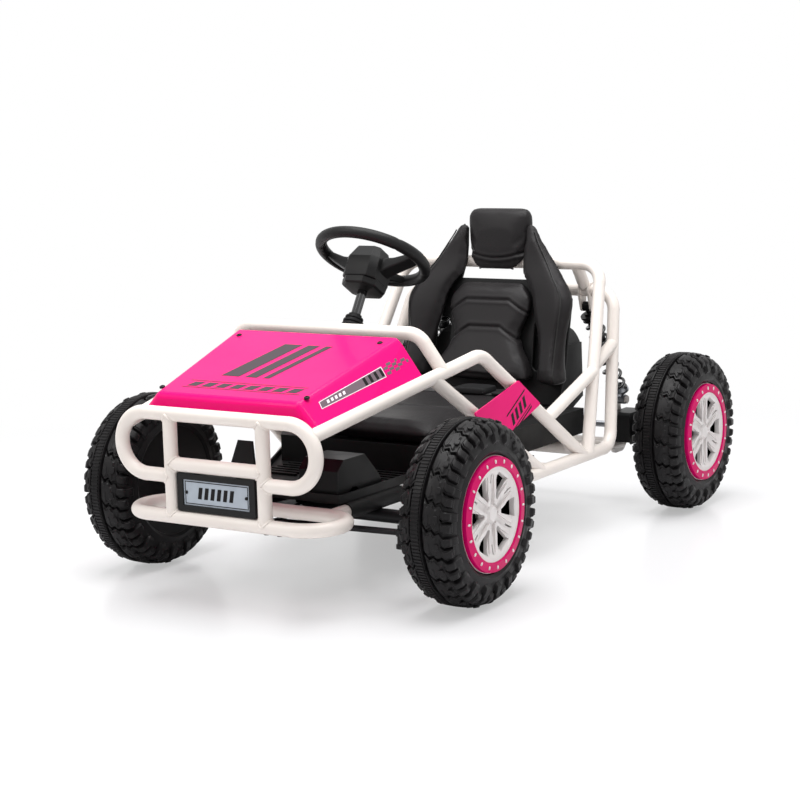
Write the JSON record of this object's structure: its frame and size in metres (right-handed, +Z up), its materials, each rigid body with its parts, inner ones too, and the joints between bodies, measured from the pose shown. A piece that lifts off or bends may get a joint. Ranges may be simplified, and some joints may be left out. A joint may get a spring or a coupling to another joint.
{
  "type": "off road go kart",
  "caption": "Child-size off road kart: bent tube frame, pink hood, bucket seat, steering with tie rods, sprung rear swing arm and four block tread wheels",
  "frame": {"origin": "On the ground, under the middle of the bounding box", "axes": "+Z up, the kart faces -Y, +X is the driver's left"},
  "size_m": [0.718, 1.1552, 0.5647],
  "materials": {
    "pink_panel": "gloss",
    "pink_ring": "gloss",
    "tyre_body": "matt, moulded",
    "wheel_cap": "satin",
    "seat_padding": "satin",
    "plate_grey": "matt",
    "bare_steel": "zinc plated",
    "dark_steel": "satin black",
    "spring_black": "gloss black",
    "soft_black": "matt",
    "webbing": "woven",
    "black_plastic": "matt",
    "frame_paint": "powder coat, satin"
  },
  "bodies": {
    "frame": {"bumper_loop": "frame_paint", "bumper_posts": "frame_paint", "bumper_crossbar": "frame_paint", "lower_hoop": "frame_paint", "side_rails": "frame_paint", "side_struts": "frame_paint", "lower_rails": "frame_paint", "main_hoop": "frame_paint", "rear_hoop": "frame_paint", "hoop_ties": "frame_paint", "frame_braces": "frame_paint", "dash_hoop": "frame_paint", "front_beam": "frame_paint", "cross_members": "frame_paint", "floor_pan": "black_plastic", "foot_rest": "black_plastic", "plate_holder": "black_plastic", "plate_panel": "plate_grey", "hood": "pink_panel", "side_plates": "pink_panel", "rail_sleeves": "soft_black", "seat_box": "black_plastic", "seat_shell": "black_plastic", "seat_cushion": "seat_padding", "back_cushion": "seat_padding", "seat_bolsters": "seat_padding", "head_pad": "seat_padding", "lap_belt": "webbing", "rear_cover": "black_plastic", "pedal_base": "black_plastic", "column_boot": "soft_black"},
    "steering": {"steering_wheel": "black_plastic", "steering_column": "dark_steel"},
    "horn": {"horn_pad": "black_plastic"},
    "accelerator": {"pedal": "black_plastic"},
    "knuckle_left": {"knuckle_l": "bare_steel"},
    "knuckle_right": {"knuckle_r": "bare_steel"},
    "link_left": {"tie_rod_l": "bare_steel"},
    "link_right": {"tie_rod_r": "bare_steel"},
    "swing": {"swing_arm": "dark_steel", "rear_axle": "bare_steel", "gear_motors": "black_plastic"},
    "damper_left": {"shock_body_l": "black_plastic", "spring_l": "spring_black"},
    "damper_right": {"shock_body_r": "black_plastic", "spring_r": "spring_black"},
    "plunger_left": {"shock_rod_l": "bare_steel"},
    "plunger_right": {"shock_rod_r": "bare_steel"},
    "wheel_front_left": {"tyre_fl": "tyre_body", "hub_fl": "wheel_cap", "ring_fl": "pink_ring"},
    "wheel_front_right": {"tyre_fr": "tyre_body", "hub_fr": "wheel_cap", "ring_fr": "pink_ring"},
    "wheel_rear_left": {"tyre_rl": "tyre_body", "hub_rl": "wheel_cap", "ring_rl": "pink_ring"},
    "wheel_rear_right": {"tyre_rr": "tyre_body", "hub_rr": "wheel_cap", "ring_rr": "pink_ring"}
  },
  "joints": [
    {"name": "steer", "type": "hinge", "parent": "frame", "child": "steering", "pos_m": [0, -0.1275, 0.507], "axis": [0, 0.5299, 0.848], "range_deg": [-30, 30]},
    {"name": "horn_press", "type": "slide", "parent": "steering", "child": "horn", "axis": [0, -0.5299, -0.848], "range_m": [0, 0.003], "stiffness_N_per_m": 600, "springref_m": -0.002},
    {"name": "knuckle_left_turn", "type": "hinge", "parent": "frame", "child": "knuckle_left", "pos_m": [0.228, -0.3475, 0.13], "axis": [0, 0, 1], "range_deg": [-24.2, 24.2]},
    {"name": "knuckle_right_turn", "type": "hinge", "parent": "frame", "child": "knuckle_right", "pos_m": [-0.228, -0.3475, 0.13], "axis": [0, 0, 1], "range_deg": [-24.2, 24.2]},
    {"name": "link_left_turn", "type": "hinge", "parent": "knuckle_left", "child": "link_left", "pos_m": [0.228, -0.4125, 0.118], "axis": [0, 0, 1], "range_deg": [-25.8, 25.8]},
    {"name": "link_right_turn", "type": "hinge", "parent": "knuckle_right", "child": "link_right", "pos_m": [-0.228, -0.4125, 0.118], "axis": [0, 0, 1], "range_deg": [-25.8, 25.8]},
    {"name": "accelerator_press", "type": "hinge", "parent": "frame", "child": "accelerator", "pos_m": [-0.092, -0.3875, 0.171], "axis": [1, 0, 0], "range_deg": [0, 15], "stiffness_Nm_per_rad": 1.5, "springref_deg": -8.59},
    {"name": "swing_lift", "type": "hinge", "parent": "frame", "child": "swing", "pos_m": [0, 0.2275, 0.144], "axis": [1, 0, 0], "range_deg": [0, 6], "stiffness_Nm_per_rad": 900, "springref_deg": -1.72},
    {"name": "damper_left_swing", "type": "hinge", "parent": "frame", "child": "damper_left", "pos_m": [0.158, 0.3425, 0.38], "axis": [1, 0, 0], "range_deg": [-0.2, 1.09]},
    {"name": "damper_left_stroke", "type": "slide", "parent": "damper_left", "child": "plunger_left", "axis": [-0.1437, -0.3964, 0.9068], "range_m": [-0.0005, 0.0212], "deforming": ["spring_l"]},
    {"name": "damper_right_swing", "type": "hinge", "parent": "frame", "child": "damper_right", "pos_m": [-0.158, 0.3425, 0.38], "axis": [1, 0, 0], "range_deg": [-0.2, 1.09]},
    {"name": "damper_right_stroke", "type": "slide", "parent": "damper_right", "child": "plunger_right", "axis": [0.1437, -0.3964, 0.9068], "range_m": [-0.0005, 0.0212], "deforming": ["spring_r"]},
    {"name": "spin_front_left", "type": "hinge", "parent": "knuckle_left", "child": "wheel_front_left", "pos_m": [0.309, -0.3475, 0.145], "axis": [1, 0, 0], "continuous": true},
    {"name": "spin_front_right", "type": "hinge", "parent": "knuckle_right", "child": "wheel_front_right", "pos_m": [-0.309, -0.3475, 0.145], "axis": [1, 0, 0], "continuous": true},
    {"name": "spin_rear_left", "type": "hinge", "parent": "swing", "child": "wheel_rear_left", "pos_m": [0.309, 0.4325, 0.145], "axis": [1, 0, 0], "continuous": true},
    {"name": "spin_rear_right", "type": "hinge", "parent": "swing", "child": "wheel_rear_right", "pos_m": [-0.309, 0.4325, 0.145], "axis": [1, 0, 0], "continuous": true}
  ],
  "couplings": [
    {"joint": "knuckle_left_turn", "follows": "steer", "ratio": 0.8},
    {"joint": "knuckle_right_turn", "follows": "steer", "ratio": 0.8},
    {"joint": "link_left_turn", "follows": "steer", "ratio": -0.849},
    {"joint": "link_right_turn", "follows": "steer", "ratio": -0.849},
    {"joint": "damper_left_swing", "follows": "swing_lift", "ratio": 0.1479},
    {"joint": "damper_left_stroke", "follows": "swing_lift", "m_per_rad": 0.19783},
    {"joint": "damper_right_swing", "follows": "swing_lift", "ratio": 0.1479},
    {"joint": "damper_right_stroke", "follows": "swing_lift", "m_per_rad": 0.19783}
  ]
}
